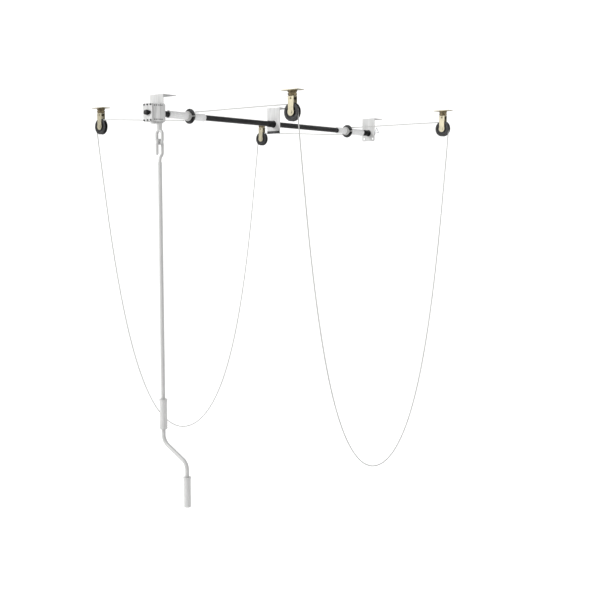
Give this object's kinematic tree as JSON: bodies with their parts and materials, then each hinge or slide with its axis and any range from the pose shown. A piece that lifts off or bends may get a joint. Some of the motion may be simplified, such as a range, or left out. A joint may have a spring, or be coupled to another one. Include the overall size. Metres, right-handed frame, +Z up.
{
  "type": "ceiling mounted pulley rack",
  "caption": "Winch-driven ceiling hoist: a cranked shaft on hanging brackets winds rope over corner pulleys to lift a load in two rope slings.",
  "frame": {"origin": "on the ceiling plane, at the centre of the middle bracket's four screw holes, above the shaft's axis", "axes": "+Z up into the ceiling; +Y along the shaft, away from the winch; +X to the pulley side that is nearer the shaft (the worm's side of the gearbox)"},
  "size_m": [1.279, 1.672, 1.738],
  "materials": {
    "white_coated_steel": "satin powder coat",
    "black_plastic": "matte",
    "black_coated_steel": "satin black coat",
    "zinc_steel": "bright zinc plate",
    "bronze": "plain bearing bronze",
    "worm_steel": "machined, greased",
    "yellow_zinc_steel": "yellow zinc plate",
    "rope": "braided polyester",
    "grey_drum": "speckled light grey coat",
    "grey_coated_steel": "satin light grey coat",
    "pale_plastic": "fine matte",
    "black_nylon": "satin moulded nylon"
  },
  "bodies": {
    "mounts_and_ropes": {"bracket_winch": "white_coated_steel", "bracket_middle": "white_coated_steel", "bracket_end": "white_coated_steel", "middle_edge_strip": "black_plastic", "bush_middle": "black_plastic", "bush_end": "black_plastic", "gearbox_body": "white_coated_steel", "gearbox_cover": "white_coated_steel", "gearbox_rear_plate": "white_coated_steel", "gearbox_screws": "zinc_steel", "gearbox_bolts": "zinc_steel", "front_flange": "black_coated_steel", "bearing_front": "bronze", "bearing_rear": "bronze", "worm_bushes": "bronze", "pulley_plate_fl": "yellow_zinc_steel", "pulley_plate_fr": "yellow_zinc_steel", "pulley_plate_rl": "yellow_zinc_steel", "pulley_plate_rr": "yellow_zinc_steel", "pulley_fork_fl": "yellow_zinc_steel", "pulley_fork_fr": "yellow_zinc_steel", "pulley_fork_rl": "yellow_zinc_steel", "pulley_fork_rr": "yellow_zinc_steel", "pulley_axles": "yellow_zinc_steel", "axle_sleeves": "zinc_steel", "pulley_necks": "yellow_zinc_steel", "rope_keepers": "yellow_zinc_steel", "rope_run_fl": "rope", "rope_run_fr": "rope", "rope_run_rl": "rope", "rope_run_rr": "rope", "rope_sling_left": "rope", "rope_sling_right": "rope"},
    "shaft_body": {"shaft_tube_winch": "black_coated_steel", "shaft_tube_end": "black_coated_steel", "shaft_coupler": "black_coated_steel", "end_collar": "black_coated_steel", "drum_front": "grey_drum", "drum_rear": "grey_drum", "drum_flange_front": "black_plastic", "drum_flange_rear": "black_plastic", "rope_winding_front": "rope", "rope_winding_rear": "rope", "set_screws": "zinc_steel", "gear_shaft": "zinc_steel", "worm_wheel": "bronze", "drive_hub": "black_plastic", "end_pin": "zinc_steel"},
    "worm_body": {"worm": "worm_steel", "worm_eye": "grey_coated_steel"},
    "crank_body": {"crank_hook": "grey_coated_steel", "crank_tube": "grey_coated_steel", "hook_pin": "zinc_steel", "grip_rings": "grey_coated_steel"},
    "upper_grip_body": {"upper_grip": "pale_plastic"},
    "lower_grip_body": {"lower_grip": "pale_plastic"},
    "wheel_fl": {"pulley_wheel_fl": "black_nylon"},
    "wheel_fr": {"pulley_wheel_fr": "black_nylon"},
    "wheel_rl": {"pulley_wheel_rl": "black_nylon"},
    "wheel_rr": {"pulley_wheel_rr": "black_nylon"}
  },
  "joints": [
    {"name": "crank_turn", "type": "hinge", "parent": "mounts_and_ropes", "child": "worm_body", "pos_m": [0.033, -0.805, -0.12], "axis": [0, 0, -1], "range_deg": [0, 45900], "deforming": ["rope_sling_left", "rope_sling_right"]},
    {"name": "shaft_spin", "type": "hinge", "parent": "mounts_and_ropes", "child": "shaft_body", "pos_m": [0, 0, -0.078], "axis": [0, -1, 0], "range_deg": [0, 2701]},
    {"name": "wheel_spin_fl", "type": "hinge", "parent": "mounts_and_ropes", "child": "wheel_fl", "pos_m": [-0.64, -0.563, -0.089], "axis": [0, 1, 0], "range_deg": [0, 1638.71]},
    {"name": "wheel_spin_fr", "type": "hinge", "parent": "mounts_and_ropes", "child": "wheel_fr", "pos_m": [0.555, -0.563, -0.089], "axis": [0, -1, 0], "range_deg": [0, 1638.71]},
    {"name": "wheel_spin_rl", "type": "hinge", "parent": "mounts_and_ropes", "child": "wheel_rl", "pos_m": [-0.64, 0.597, -0.089], "axis": [0, 1, 0], "range_deg": [0, 1638.71]},
    {"name": "wheel_spin_rr", "type": "hinge", "parent": "mounts_and_ropes", "child": "wheel_rr", "pos_m": [0.555, 0.597, -0.089], "axis": [0, -1, 0], "range_deg": [0, 1638.71]},
    {"name": "crank_swing", "type": "hinge", "parent": "worm_body", "child": "crank_body", "pos_m": [0.033, -0.805, -0.2055], "axis": [1, 0, 0], "range_deg": [-60, 60]},
    {"name": "upper_grip_spin", "type": "hinge", "parent": "crank_body", "child": "upper_grip_body", "pos_m": [0.033, -0.805, -1.36], "axis": [0, 0, 1], "continuous": true},
    {"name": "lower_grip_spin", "type": "hinge", "parent": "crank_body", "child": "lower_grip_body", "pos_m": [0.175, -0.805, -1.6735], "axis": [0, 0, 1], "continuous": true}
  ],
  "couplings": [
    {"joint": "shaft_spin", "follows": "crank_turn", "ratio": 0.058824},
    {"joint": "wheel_spin_fl", "follows": "crank_turn", "ratio": 0.03568},
    {"joint": "wheel_spin_fr", "follows": "crank_turn", "ratio": 0.03568},
    {"joint": "wheel_spin_rl", "follows": "crank_turn", "ratio": 0.03568},
    {"joint": "wheel_spin_rr", "follows": "crank_turn", "ratio": 0.03568}
  ]
}
